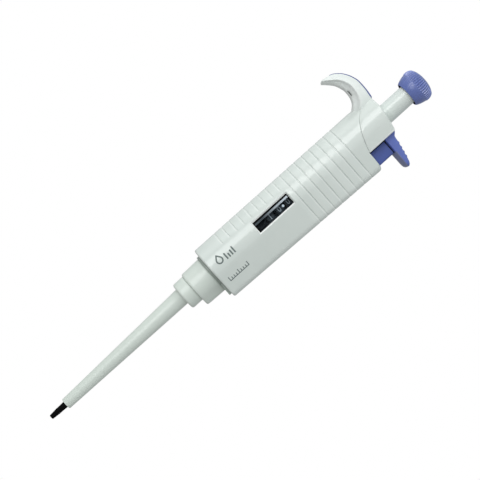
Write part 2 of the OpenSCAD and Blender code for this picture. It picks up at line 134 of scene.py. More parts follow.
def finish_material(name, base, other, rough, metal=0.0, bump=0.02, wear=0.25, wear_tint=None,
                    stretch=(1, 1, 1), specular=0.5, painted_crease_shade=1.0):
    """A moulded or machined finish: patchy colour, uneven roughness, fine grain, worn edges, and optionally
    painted shade darkening the hollows.
    """
    mat, nodes, links, bsdf = node_tree(name)
    coord = nodes.new("ShaderNodeTexCoord")
    base, other = srgb(*base), srgb(*other)
    broad = noise_node(nodes, links, coord, PATCH_SCALE, 4)
    fine = noise_node(nodes, links, coord, GRAIN_SCALE, 2, stretch)
    patches = remap(nodes, links, broad.outputs["Fac"], 0, 1)
    colour = mix_colour(nodes, links, patches, base, other)
    geometry = nodes.new("ShaderNodeNewGeometry")
    edges = remap(nodes, links, geometry.outputs["Pointiness"], 0, wear, 0.52, 0.6)
    tint = srgb(*wear_tint) if wear_tint else tuple(min(1, c * 1.25) for c in base[:3]) + (1,)
    colour = mix_colour(nodes, links, edges, colour, tint)
    # Painted shade: concave places get a darker copy of the base colour.
    if painted_crease_shade < 1:
        crease_shade_mask = remap(nodes, links, geometry.outputs["Pointiness"], 1, 0, 0.44, 0.49)
        colour = mix_colour(nodes, links, crease_shade_mask, colour, tuple(c * painted_crease_shade for c in base[:3]) + (1,))
    links.new(colour, bsdf.inputs["Base Color"])
    roughness = remap(nodes, links, fine.outputs["Fac"], rough[0], rough[1])
    links.new(roughness, bsdf.inputs["Roughness"])
    bsdf.inputs["Metallic"].default_value = metal
    bsdf.inputs["Specular IOR Level"].default_value = specular
    relief = nodes.new("ShaderNodeBump")
    relief.inputs["Strength"].default_value = bump
    relief.inputs["Distance"].default_value = GRAIN_HEIGHT
    links.new(fine.outputs["Fac"], relief.inputs["Height"])
    links.new(relief.outputs["Normal"], bsdf.inputs["Normal"])
    return mat


def clear_material(name):
    """Thin clear plastic, slightly uneven, that shows what is behind it."""
    mat, nodes, links, bsdf = node_tree(name)
    nodes.remove(bsdf)
    coord = nodes.new("ShaderNodeTexCoord")
    haze = noise_node(nodes, links, coord, 300, 3)
    through = nodes.new("ShaderNodeBsdfTransparent")
    patches = remap(nodes, links, haze.outputs["Fac"], 0, 1)
    tint = mix_colour(nodes, links, patches, (0.92, 0.95, 0.97, 1), (0.88, 0.92, 0.95, 1))
    links.new(tint, through.inputs["Color"])
    links.new(through.outputs["BSDF"], nodes["Material Output"].inputs["Surface"])
    return mat


def fade_colour(mat, axis, start, end, colour):
    """Carries a material's colour over to another one along an axis, between two places in mm."""
    nodes, links = mat.node_tree.nodes, mat.node_tree.links
    split = nodes.new("ShaderNodeSeparateXYZ")
    links.new(nodes["Texture Coordinate"].outputs["Object"], split.inputs["Vector"])
    share = remap(nodes, links, split.outputs[axis], 0, 1, start * MM, end * MM)
    bsdf = nodes["Principled BSDF"]
    before = bsdf.inputs["Base Color"].links[0].from_socket
    links.new(mix_colour(nodes, links, share, before, srgb(*colour)), bsdf.inputs["Base Color"])


def gloss_white(name):
    return finish_material(name, (224, 231, 227), (218, 226, 222), (0.17, 0.21), bump=0.002, wear=0.2,
                           wear_tint=(240, 244, 242), specular=1.0)


WHITE = gloss_white("white_plastic")
# Painted light: the hook's white is painted lighter towards the hook's far end, from x -8.5 mm to -14 mm.
HOOK_WHITE_PAINTED_LIGHT = gloss_white("hook_white_painted_light")
fade_colour(HOOK_WHITE_PAINTED_LIGHT, "X", -8.5, -14, (241, 246, 244))
# Painted highlight: a lighter white for the lit lower lips of the grooves.
LIP_PAINTED_HIGHLIGHT = finish_material("lip_painted_highlight", (234, 239, 236), (230, 236, 233), (0.15, 0.2), bump=0.006,
                            specular=1.0)
# Painted highlight: a near-white for lit edges, the window's frame and the cap's rounded side edge.
RIM_PAINTED_HIGHLIGHT = finish_material("rim_painted_highlight", (248, 251, 250), (244, 248, 246), (0.13, 0.19), bump=0.008,
                            specular=1.0)
# Painted shade: a darker white for the bottom plate, tucked under the handle.
WHITE_PAINTED_SHADE = finish_material("white_painted_shade", (160, 170, 163), (154, 164, 157), (0.3, 0.4), bump=0.01)
SLEEVE_WHITE = finish_material("sleeve_white", (223, 232, 225), (221, 230, 223), (0.28, 0.29), bump=0.002,
                               wear=0.0, specular=0.8)
BLUE = finish_material("blue_plastic", (97, 115, 184), (91, 108, 177), (0.26, 0.36), bump=0.015, wear=0.2,
                       wear_tint=(140, 152, 218), specular=1.0, painted_crease_shade=0.7)
# Painted highlight: a lighter blue for the lit tops of the knob's ribs.
RIDGE_PAINTED_HIGHLIGHT = finish_material("blue_ridge_painted_highlight", (138, 152, 214), (130, 144, 206), (0.26, 0.36), bump=0.015,
                             wear=0.3, specular=1.0)
BLUE_DEEP = finish_material("blue_plastic_deep", (92, 112, 192), (86, 105, 184), (0.3, 0.42), wear=0.3,
                            wear_tint=(130, 142, 214), specular=0.7)
BLUE_STRIP = finish_material("blue_plastic_strip", (66, 80, 148), (61, 75, 141), (0.3, 0.42), specular=0.6)
# Painted shade: a darker blue for the button's block, recessed under the paddle.
BLOCK_PAINTED_SHADE = finish_material("blue_block_painted_shade", (76, 96, 168), (70, 89, 160), (0.34, 0.46),
                             wear_tint=(110, 124, 196))
BLUE_SHADOW = finish_material("blue_plastic_shadow", (30, 34, 62), (26, 30, 54), (0.6, 0.7), specular=0.1)
# Painted reflection: a greyer blue for the paddle's underside, the pale surroundings seen at a grazing angle.
UNDERSIDE_PAINTED_REFLECTION = finish_material("blue_underside_painted_reflection", (122, 131, 172), (114, 123, 164), (0.3, 0.4))
CLEAR = clear_material("clear_plastic")
BLACK = finish_material("black_plastic", (34, 38, 42), (26, 29, 33), (0.35, 0.5), bump=0.03)
TIP_BLACK = finish_material("tip_plastic", (9, 9, 10), (6, 6, 7), (0.5, 0.6), wear=0.02, specular=0.06)
# Painted reflection: dark metal whose colour brightens towards the top of the window, from z 138 mm to 154
# mm.
SHEEN = finish_material("window_sheen", (44, 50, 54), (38, 43, 47), (0.2, 0.28), metal=0.9, bump=0.01)
fade_colour(SHEEN, "Z", 138, 154, (138, 146, 152))
GREY = finish_material("grey_plastic", (150, 157, 160), (138, 146, 150), (0.35, 0.5))
WHEEL = finish_material("wheel_plastic", (84, 90, 95), (70, 76, 81), (0.34, 0.46))
GEAR = finish_material("gear_plastic", (228, 226, 216), (218, 215, 204), (0.4, 0.55))
INK = finish_material("print_ink", (104, 116, 114), (96, 108, 107), (0.5, 0.6))
DIGIT = finish_material("digit_ink", (246, 249, 250), (238, 242, 244), (0.5, 0.6))
# Painted shade: the dark inside of the hook's slot.
SHADE = finish_material("slot_painted_shade", (58, 66, 62), (48, 55, 52), (0.6, 0.7))
PTFE = finish_material("seal_ptfe", (236, 236, 232), (226, 227, 222), (0.45, 0.6))
RUBBER = finish_material("seal_rubber", (30, 30, 31), (24, 24, 25), (0.6, 0.75), bump=0.05)
BRASS = finish_material("brass", (205, 170, 98), (190, 152, 82), (0.22, 0.36), metal=1, bump=0.03,
                        stretch=(1, 1, 6))
STEEL = finish_material("steel", (192, 196, 200), (176, 180, 186), (0.2, 0.34), metal=1, stretch=(1, 1, 8))
SPRING = finish_material("spring_steel", (170, 173, 178), (150, 153, 160), (0.24, 0.38), metal=1, bump=0.03)


# ---------------------------------------------------------------- mesh helpers, in mm
def add_object(name, mesh, mat, body, stands_for=()):
    mesh.materials.clear()
    mesh.materials.append(mat)
    obj = bpy.data.objects.new(name, mesh)
    bpy.context.scene.collection.objects.link(obj)
    if stands_for:
        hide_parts(*stands_for)
    bpy.context.view_layer.update()
    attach(obj, body)
    return obj


def build_mesh(name, verts, faces, sharp=32):
    bm = bmesh.new()
    points = [bm.verts.new(Vector(v) * MM) for v in verts]
    for face in faces:
        if len(set(face)) == len(face):
            bm.faces.new([points[i] for i in face])
    bmesh.ops.remove_doubles(bm, verts=bm.verts, dist=2e-7)
    bmesh.ops.dissolve_degenerate(bm, edges=bm.edges, dist=1e-8)
    bmesh.ops.recalc_face_normals(bm, faces=bm.faces)
    mesh = bpy.data.meshes.new(name)
    bm.to_mesh(mesh)
    bm.free()
    smooth(mesh, sharp)
    return mesh


def smooth(mesh, sharp):
    mesh.shade_smooth()
    mesh.set_sharp_from_angle(angle=math.radians(sharp))


def skin(rings, wrap=False, skip=None):
    """Verts and faces through rings of equal length: a torus if wrap, else closed at both ends."""
    n, m = len(rings[0]), len(rings)
    verts = [p for ring in rings for p in ring]
    faces = []
    for i in range(m if wrap else m - 1):
        for j in range(n):
            if skip and skip(i, j):
                continue
            a, b = i * n + j, i * n + (j + 1) % n
            c, d = ((i + 1) % m) * n + (j + 1) % n, ((i + 1) % m) * n + j
            faces.append((a, b, c, d))
    if not wrap:
        faces.append(tuple(range(n)))
        faces.append(tuple((m - 1) * n + j for j in reversed(range(n))))
    return verts, faces


def skin_mesh(name, rings, sharp, wrap=False):
    return build_mesh(name, *skin(rings, wrap), sharp)


def circle(r, z, n, cx=0.0):
    return [(cx + r * math.cos(2 * math.pi * k / n), r * math.sin(2 * math.pi * k / n), z) for k in range(n)]


def lathe(profile, n=96, cx=0.0):
    """Rings for a closed outline of (radius, height) or (radius, height, shift along X) points."""
    return [circle(max(p[0], 1e-4), p[1], n, cx + (p[2] if len(p) > 2 else 0)) for p in profile]


def box_mesh(name, x0, x1, half_y, z0, z1):
    return skin_mesh(name, [[(x0, -half_y, z), (x1, -half_y, z), (x1, half_y, z), (x0, half_y, z)]
                            for z in (z0, z1)], 36)


def quarter_round(steps):
    """Places along a quarter round: the way gone from its start and the way left, along each side."""
    turns = [math.pi / 2 * k / steps for k in range(steps + 1)]
    return [(1 - math.cos(t), 1 - math.sin(t)) for t in turns]


def both_sides(half):
    """Closed ring from the half of it on one side of the middle plane, ends on the plane."""
    return half + [(p[0], -p[1], p[2]) for p in reversed(half[1:-1])]


def along(line, x):
    """Height at x of a line of straight pieces, level before its first point and after its last."""
    for a, b in zip(line, line[1:]):
        if x <= b[0]:
            return lerp(a[1], b[1], max(0, (x - a[0]) / (b[0] - a[0])))
    return line[-1][1]


def paint(mesh, extra, choose):
    """Adds materials to a mesh; choose(x, y, z, normal) gives each face's place in the list."""
    for mat in extra:
        mesh.materials.append(mat)
    for face in mesh.polygons:
        face.material_index = choose(*(face.center / MM), face.normal)


def spline(points, per):
    """Smooth curve through 2-D points, sampled per times between neighbours."""
    out = []
    for i in range(len(points) - 1):
        p0, p1 = points[max(i - 1, 0)], points[i]
        p2, p3 = points[i + 1], points[min(i + 2, len(points) - 1)]
        for k in range(per):
            t = k / per
            out.append(tuple(0.5 * (2 * b + (c - a) * t + (2 * a - 5 * b + 4 * c - d) * t * t
                                    + (3 * b - a - 3 * c + d) * t ** 3)
                             for a, b, c, d in zip(p0, p1, p2, p3)))
    out.append(tuple(points[-1]))
    return out


def inset_ring(ring, depth):
    """A flat ring drawn inwards; depth is one number or one per point."""
    n = len(ring)
    out = []
    for j, p in enumerate(ring):
        a, b = ring[j - 1], ring[(j + 1) % n]
        tx, ty = b[0] - a[0], b[1] - a[1]
        size = math.hypot(tx, ty) or 1
        d = depth[j] if isinstance(depth, list) else depth
        out.append((p[0] - ty / size * d, p[1] + tx / size * d, p[2]))
    return out


def smoothstep(x, a, b):
    t = min(1, max(0, (x - a) / (b - a)))
    return t * t * (3 - 2 * t)


def lerp(a, b, t):
    return a + (b - a) * t


def bezier(p, t):
    return tuple((1 - t) ** 3 * a + 3 * t * (1 - t) ** 2 * b + 3 * t * t * (1 - t) * c + t ** 3 * d
                 for a, b, c, d in zip(*p))


def combine(base, other, operation):
    """base becomes the exact union or difference of the two meshes; other is used up."""
    temp = []
    for mesh in (base, other):
        obj = bpy.data.objects.new("temp", mesh)
        bpy.context.scene.collection.objects.link(obj)
        temp.append(obj)
    modifier = temp[0].modifiers.new("join", "BOOLEAN")
    modifier.operation = operation
    modifier.solver = "EXACT"
    modifier.object = temp[1]
    graph = bpy.context.evaluated_depsgraph_get()
    mesh = bpy.data.meshes.new_from_object(temp[0].evaluated_get(graph))
    for obj in temp:
        bpy.data.objects.remove(obj)
    return mesh


# ---------------------------------------------------------------- body section
def round_r(z):
    return lerp(R_LOW, R_TOP, (z - HANDLE_Z) / TAPER_H)


def right_x(z):
    return lerp(RIGHT_LOW, RIGHT_TOP, (z - HANDLE_Z) / TAPER_H)


def tangent(big_r, small_r, cx, cy):
    """Angle of the line that touches the round side and the corner round (cx, cy)."""
    return math.atan2(cy, cx) + math.acos((big_r - small_r) / math.hypot(cx, cy))


def window_angle(x):
    """Angle round the body of a place x across the window."""
    return -math.degrees(math.acos(x / WINDOW_R))


def front_stations():
    """Places round the front half of the section, from the hook side to the ejector side."""
    border = [window_angle(x) for x in WINDOW_X]
    angles = [-180 + 3.5 * k for k in range(19)]
    angles += border[:2] + [lerp(border[1], border[2], k / 8) for k in range(1, 8)] + border[2:] + [-77]
    stations = [("arc", a) for a in angles]
    stations += [("line", 0)] + [("x", x) for x in (4.6, 5.5, 6.5, 7.5, 8.0, CAP_X, 9.2, 10.5, 12.0)]
    stations += [("corner", k / 10) for k in range(11)]
    return stations


STATIONS = front_stations()
FLATS = (-3.5, 0, 3.5)


def section_half(z, stations, big_r=None, right=None, corner_r=CORNER_R, slab_y=SLAB_Y):
    big_r = big_r or round_r(z)
    right = right or right_x(z)
    cx, cy = right - corner_r, slab_y - corner_r
    turn = tangent(big_r, corner_r, cx, cy)
    ux, uy = math.cos(turn), -math.sin(turn)
    x0, y0 = big_r * ux, big_r * uy
    x1, y1 = cx + corner_r * ux, -cy + corner_r * uy
    out = []
    for kind, value in stations:
        if kind == "arc":
            a = math.radians(value)
            out.append((big_r * math.cos(a), big_r * math.sin(a), z))
        elif kind in ("line", "x"):
            f = value if kind == "line" else (value - x0) / (x1 - x0)
            out.append((lerp(x0, x1, f), lerp(y0, y1, f), z))
        else:
            a = -turn * (1 - value)
            out.append((cx + corner_r * math.cos(a), -cy + corner_r * math.sin(a), z))
    return out


def mirrored(half, flats=()):
    """Closed ring from its front half: the point on the hook side is kept once."""
    x = half[-1][0]
    z = half[-1][2]
    back = [(p[0], -p[1], p[2]) for p in reversed(half[1:])]
    return half + [(x, y, z) for y in flats] + back


def body_ring(z):
    return mirrored(section_half(z, STATIONS), FLATS)


def front_y(x, z):
    """Depth of the front surface at a place on it."""
    big_r = round_r(z)
    cx, cy = right_x(z) - CORNER_R, SLAB_Y - CORNER_R
    turn = tangent(big_r, CORNER_R, cx, cy)
    x0, y0 = big_r * math.cos(turn), -big_r * math.sin(turn)
    if x <= x0:
        return -math.sqrt(big_r * big_r - x * x)
    x1, y1 = cx + CORNER_R * math.cos(turn), -cy - CORNER_R * math.sin(turn)
    return lerp(y0, y1, (x - x0) / (x1 - x0))


SEAM = [(-12.3, HANDLE_Z + 98.9), (-9.6, HANDLE_Z + 102.5)]
SEAM += [(p[0], HANDLE_Z + p[1]) for p in
         (bezier([(-9.4, 102.5), (-6.5, 97.5), (0, 94.35), (CAP_X, 92.2)], k / 24) for k in range(25))]


# ---------------------------------------------------------------- handle
def handle_rows():
    """Heights up to the top zone, each with its groove and the groove's share of depth there."""
    rows = {}
    for i in range(FULL_GROOVES + SHORT_GROOVES):
        zc = GROOVE_TOP - i * GROOVE_PITCH
        for dz, share in ((-0.85, 0), (-0.32, 0.45), (-0.24, 1), (0.12, 1), (0.2, 0)):
            rows[round(zc + dz, 3)] = (i, share)
    for z in WINDOW_Z:
        rows[z] = (0, 0)
    for z in (157.9, 158.25):
        rows[z] = (0, 0)
    z = HANDLE_Z + 1.2
    while z < 190:
        if min(abs(z - q) for q in rows) > 0.35:
            rows[round(z, 3)] = (0, 0)
        z += 3.1
    return sorted((z, g, s) for z, (g, s) in rows.items())


def groove_depth(x, groove, share):
    if not share:
        return 0
    reach = 1 if groove < FULL_GROOVES else 0.6 * (1 - smoothstep(x, -7.3, -6.3))
    reach *= 1 - 0.6 * smoothstep(-x, 8, 12.5) - 0.7 * smoothstep(x, 12, 17)
    return 0.6 * share * reach


def channel_point(p, z):
    """Inner wall behind a point of the outside: round bore, or the ejector's channel on its side."""
    if p[0] < CAP_X:
        reach = math.hypot(p[0], p[1]) if p[0] < 0 else 1
        x = p[0] if p[0] > -7 else lerp(-7, -BORE_R, (-7 - p[0]) / (reach - 7))
        return (x, math.copysign(math.sqrt(max(0, BORE_R ** 2 - x * x)), p[1]), z)
    limit = 13.6 if z < 158 else min(16.35, right_x(z) - 1.0)
    return (min(p[0], limit), max(-5.6, min(5.6, p[1])), z)


def build_handle():
    rows = handle_rows()
    edge = 0.8
    outer = [inset_ring(body_ring(HANDLE_Z + edge * gone), edge * left) for gone, left in quarter_round(5)]
    row_of = {}
    for z, groove, share in rows:
        ring = body_ring(z)
        row_of[z] = len(outer)
        outer.append(inset_ring(ring, [groove_depth(p[0], groove, share) for p in ring]))
    cols = [STATIONS.index(("arc", window_angle(x))) for x in WINDOW_X]
    r0, r1 = row_of[WINDOW_Z[1]], row_of[WINDOW_Z[2]]
    for i in range(r0, r1 + 1):
        for j in range(cols[1], cols[2] + 1):
            x, y, z = outer[i][j]
            if i in (r0, r1) or j in (cols[1], cols[2]):
                outer[i][j] = (x, y + 0.75, z)
    last_z = rows[-1][0]
    base = body_ring(last_z)
    tops, edges = [], []
    for p in base:
        on_side = p[0] > CAP_X - 0.01
        tops.append(SHOULDER_Z if on_side else along(SEAM, p[0]) - 0.03)
        edges.append(lerp(0.45, 1.7, smoothstep(p[0], 13.5, 17)) if on_side else 0.26)
    for k in range(1, 9):
        outer.append([body_ring(lerp(last_z, tops[j] - edges[j], k / 8))[j] for j in range(len(base))])
    rim = outer[-1]
    for gone, left in quarter_round(5)[1:]:
        flat = inset_ring(rim, [e * gone for e in edges])
        outer.append([(q[0], q[1], top - e * left) for q, top, e in zip(flat, tops, edges)])
    inner = []
    for i, ring in enumerate(outer):
        whole = body_ring(ring[0][2]) if i < len(outer) - 14 else ring
        inner.append([channel_point(q, p[2]) for q, p in zip(whole, ring)])
    rings = outer + inner[::-1]
    total = len(outer)

    def skip(i, j):
        row = i if i < total else 2 * total - 2 - i
        return cols[1] <= j < cols[2] and r0 <= row < r1 and i != total - 1

    verts, faces = skin(rings, wrap=True, skip=skip)
    n = len(base)

    def outer_id(i, j):
        return i * n + j

    def inner_id(i, j):
        return (2 * total - 1 - i) * n + j

    hole = [(r0, j) for j in range(cols[1], cols[2])] + [(i, cols[2]) for i in range(r0, r1)]
    hole += [(r1, j) for j in range(cols[2], cols[1], -1)] + [(i, cols[1]) for i in range(r1, r0, -1)]
    for (i, j), (i2, j2) in zip(hole, hole[1:] + hole[:1]):
        faces.append((outer_id(i, j), outer_id(i2, j2), inner_id(i2, j2), inner_id(i, j)))
    mesh = build_mesh("handle", verts, faces, 28)
    add_object("handle_grip", mesh, WHITE, "handle", ["handle_shell"])

    # Painted highlights: the window's frame faces take the rim white, and the lower lips of the grooves take
    # the lip white.
    def finish_of(x, y, z, normal):
        in_frame = WINDOW_X[0] < x < WINDOW_X[3] and WINDOW_Z[0] < z < WINDOW_Z[2] and y < 0
        if in_frame and -y < math.sqrt(round_r(z) ** 2 - x * x) - 0.12:
            return 1
        below = (GROOVE_TOP - z) % GROOVE_PITCH
        groove = round((GROOVE_TOP - z - below) / GROOVE_PITCH)
        on_lip = 0.52 < below < 0.9 and 0 <= groove < FULL_GROOVES + SHORT_GROOVES
        cut_here = groove < FULL_GROOVES or x < -6.6
        return 2 if on_lip and cut_here and math.hypot(x, y) > BORE_R + 0.5 else 0

    paint(mesh, (RIM_PAINTED_HIGHLIGHT, LIP_PAINTED_HIGHLIGHT), finish_of)


build_handle()


# ---------------------------------------------------------------- cap with finger hook
CAP_LINE = [(-13, CAP_TOP_Z - 0.1), (-4.8, CAP_TOP_Z - 0.15), (4.8, CAP_TOP_Z - 1.55), (CAP_X,
                                                                                        CAP_TOP_Z - 2.25)]
CAP_STATIONS = STATIONS[:STATIONS.index(("x", 8.0))]


def cap_ring(z):
    """Section of the cap: the body's round side, then a rounded corner on to its flat side."""
    half = section_half(z, CAP_STATIONS + [("x", CAP_X)])
    corner, before = half.pop(), half[-1]
    reach = 0.75
    size = math.hypot(corner[0] - before[0], corner[1] - before[1])
    ax = corner[0] - (corner[0] - before[0]) / size * reach
    ay = corner[1] - (corner[1] - before[1]) / size * reach
    bx, by = corner[0], corner[1] + reach
    for k in range(7):
        t = k / 6
        half.append(tuple((1 - t) ** 2 * a + 2 * t * (1 - t) * c + t * t * b
                          for a, c, b in ((ax, corner[0], bx), (ay, corner[1], by))) + (z,))
    return mirrored(half, (-6, -3, 0, 3, 6))


def cap_mesh():
    base = cap_ring(HANDLE_Z + 100)
    lows = [along(SEAM, p[0]) + 0.06 for p in base]
    tops = [along(CAP_LINE, p[0]) for p in base]
    low_edge, top_edge = 0.3, 0.55
    foot = [cap_ring(z)[j] for j, z in enumerate(lows)]
    rings = []
    for gone, left in quarter_round(3):
        flat = inset_ring(foot, low_edge * left)
        rings.append([(q[0], q[1], z + low_edge * gone) for q, z in zip(flat, lows)])
    for k in range(1, 8):
        heights = [lerp(low + low_edge, top - top_edge, k / 7) for low, top in zip(lows, tops)]
        rings.append([cap_ring(z)[j] for j, z in enumerate(heights)])
    rim = rings[-1]
    for gone, left in quarter_round(6)[1:]:
        flat = inset_ring(rim, top_edge * gone)
        rings.append([(q[0], q[1], z - top_edge * left) for q, z in zip(flat, tops)])
    floor = [(0, high_mm("stem_guide").z + 0.1)]
    bores = ((STEM_R + 0.5, CAP_LINE, 0), (STEM_R + 0.2, CAP_LINE, -0.08), (STEM_R + 0.12, CAP_LINE, -0.35),
             (STEM_R + 0.12, floor, 0), (7.0, floor, 0), (7.0, floor, -3.9), (7.95, floor, -3.9), (7.95,
                                                                                                   SEAM, 0.3))
    for r, line, up in bores:
        turned = [math.atan2(p[1], p[0]) for p in base]
        rings.append([(r * math.cos(a), r * math.sin(a), along(line, r * math.cos(a)) + up) for a in turned])
    return skin_mesh("cap", rings, 30, wrap=True)


HOOK_OUTER = [(-4.6, 213.2), (-9.4, 213.95), (-12, 214.35), (-15, 214.7), (-18.5, 214.8), (-21, 214.65),
              (-24, 213.7), (-26, 212.7), (-28, 211.3), (-29.9, 209.3), (-31.0, 207.6), (-31.6, 205.6),
              (-31.95, 203.7), (-32.08, 202.6), (-32.0, 201.95)]
HOOK_BORDER = [(-4.6, 202.6), (-8.6, 204.6), (-10.6, 206.9), (-13.3, 209.05), (-15.8, 210.05), (-18.6, 210.5),
               (-20.5, 210.55), (-21.8, 210.45), (-24.7, 209.35), (-27.2, 207.7), (-29.0, 205.5), (-30.2,
                                                                                                   203.9),
               (-31.0, 202.9), (-31.4, 202.2), (-31.6, 201.75)]
HOOK_INNER = [(-4.6, 199.6), (-9.0, 201.0), (-11.9, 203.3), (-14, 205.55), (-16, 206.7), (-18, 207.25),
              (-20, 207.4), (-22, 207.25), (-25.3, 206.1), (-27, 205.05), (-28.9, 203.35), (-30.1, 202.2),
              (-30.45, 201.75), (-30.8, 201.35), (-31.05, 201.1)]
HOOK_SECTION = [(0, 0), (0.4, 0), (0.66, 0.003), (0.74, 0.015), (0.79, 0.045), (0.85, 0.12), (0.92, 0.25),
                (0.975, 0.38),
                (1, 0.49), (0.985, 0.515), (0.93, 0.555), (0.84, 0.61), (0.75, 0.68), (0.68, 0.77), (0.62,
                                                                                                     0.86),
                (0.54, 0.94), (0.42, 0.985), (0.25, 1.0), (0, 1.0)]
HOOK_W = 7.6


def hook_mesh():
    outer, border, inner = (spline(p, 4) for p in (HOOK_OUTER, HOOK_BORDER, HOOK_INNER))
    rings = []
    last = len(outer) - 1
    for i, (a, b, c) in enumerate(zip(outer, border, inner)):
        width = HOOK_W * (1 - 0.16 * smoothstep(i, last - 16, last) - 0.12 * smoothstep(i, last - 3, last))
        half = []
        for share, s in HOOK_SECTION:
            p, q, f = (a, b, s / 0.5) if s <= 0.5 else (b, c, (s - 0.5) / 0.5)
            half.append((lerp(p[0], q[0], f), share * width, lerp(p[1], q[1], f)))
        rings.append(both_sides(half))
    return skin_mesh("hook", rings, 34)


cap = combine(cap_mesh(), hook_mesh(), "UNION")
smooth(cap, 30)
add_object("cap_with_hook", cap, HOOK_WHITE_PAINTED_LIGHT, "handle", ["hook_cap"])
# Painted highlight on the cap's rounded edge towards the ejector side.
paint(cap, [RIM_PAINTED_HIGHLIGHT], lambda x, y, z, normal: 1 if x > 7.7 and 0.2 < normal.x < 0.95 else 0)


def hook_strip():
    """Coloured strip let into the hook's back, with rounded long edges and rounded ends."""
    curve = spline(HOOK_OUTER, 6)
    path = [p for p in curve if p[0] < -9.7][:59]
    rings = []
    for i, p in enumerate(path):
        a, b = path[max(i - 1, 0)], path[min(i + 1, len(path) - 1)]
        size = math.hypot(b[0] - a[0], b[1] - a[1])
        nx, nz = (b[1] - a[1]) / size, -(b[0] - a[0]) / size
        end = min(i, len(path) - 1 - i)
        width = 5.7 * (1 if end > 3 else 0.75 + 0.25 * math.sqrt(1 - (1 - end / 4) ** 2))
        proud = lerp(0.42, 0.14, i / len(path)) * (1 if end > 1 else 0.45 + 0.3 * end)
        half = [(0, proud), (0.7, proud), (0.93, proud * 0.94), (0.985, proud * 0.7), (1, proud * 0.35),
                (1, -0.4), (0, -0.4)]
        rings.append(both_sides([(p[0] + nx * d, f * width, p[1] + nz * d) for f, d in half]))
    mesh = skin_mesh("strip", rings, 40)
    add_object("hook_strip", mesh, BLUE_STRIP, "handle", ["hook_inlay"])


hook_strip()


def hook_slot():
    """Small moulding slot in the hook's underside: a dark capsule, painted shade for the slot's shadowed
    inside.
    """
    rings = []
    for k in range(13):
        f = k / 12
        x = lerp(-20.3, -17.2, f)
        size = 0.19 * math.sqrt(max(0.02, 1 - (2 * f - 1) ** 4))
        z = 207.85 + 0.1 * math.cos(math.pi * (f - 0.35))
        rings.append([(x, -4.3 + 1.0 * math.cos(a), z + size * math.sin(a))
                      for a in (2 * math.pi * q / 16 for q in range(16))])
    add_object("hook_slot", skin_mesh("slot", rings, 50), SHADE, "handle")


hook_slot()


# ---------------------------------------------------------------- knob and stem
def build_knob():
    z0 = low_mm("thumb_knob").z
    recess_r = 5.9
    outline = [(recess_r, 2.9), (recess_r, 0.35), (6.0, 0.08), (6.25, 0.0), (6.55, 0.25), (7.05, 1.2), (7.5,
                                                                                                        2.4), (7.9, 3.9),
               (8.12, 5.2), (8.2, 6.2), (8.18, 7.0), (8.02, 7.7), (7.78, 8.3), (7.45, 8.85), (7.05, 9.3),
               (6.5, 9.72), (5.7, 10.15), (4.5, 10.58), (2.9, 10.9), (1.3, 11.05), (0.02, 11.1)]
    profile = spline(outline[:4], 1)[:-1] + spline(outline[3:], 4)
    flutes, per = 42, 10
    n = flutes * per
    rings = []
    for r, z in profile:
        mask = smoothstep(z, 4.9, 5.5) * (1 - smoothstep(z, 9.2, 9.8)) if r > 6 else 0
        ring = []
        for k in range(n):
            a = 2 * math.pi * k / n
            wave = (0.5 - 0.5 * math.cos(a * flutes)) ** 0.6
            q = r + mask * (0.2 - 0.62 * wave)
            ring.append((q * math.cos(a), q * math.sin(a), z0 + z))
        rings.append(ring)
    top = high_mm("plunger_stem").z - 4.6
    rings = [circle(0.02, top, n), circle(recess_r, top, n)] + rings
    mesh = skin_mesh("knob", rings, 38)
    add_object("thumb_knob_cap", mesh, BLUE, "plunger", ["thumb_knob"])

    # Painted shadow in the top recess, and painted highlight on the rib tops of the grip band.
    def finish_of(x, y, z, normal):
        phase = math.atan2(y, x) * flutes / (2 * math.pi) % 1
        if math.hypot(x, y) < recess_r + 0.05 and z < top + 0.1:
            return 1
        return 2 if 5.2 < z - z0 < 9.5 and min(phase, 1 - phase) < 0.2 else 0

    paint(mesh, (BLUE_SHADOW, RIDGE_PAINTED_HIGHLIGHT), finish_of)


def build_stem():
    low, high = low_mm("plunger_stem").z, high_mm("plunger_stem").z - 5
    outline = [(0.02, low + 4), (1.72, low + 4), (1.72, low + 0.3), (2.0, low), (STEM_R - 0.4, low),
               (STEM_R - 0.1, low + 0.1), (STEM_R, low + 0.4)]
    outline += [(STEM_R, lerp(low + 0.4, high, k / 8)) for k in range(1, 9)]
    outline += [(STEM_R, high + 0.3), (0.02, high + 0.3)]
    mesh = skin_mesh("stem", lathe(outline), 30)
    add_object("plunger_tube", mesh, WHITE, "plunger", ["plunger_stem"])


build_knob()
build_stem()


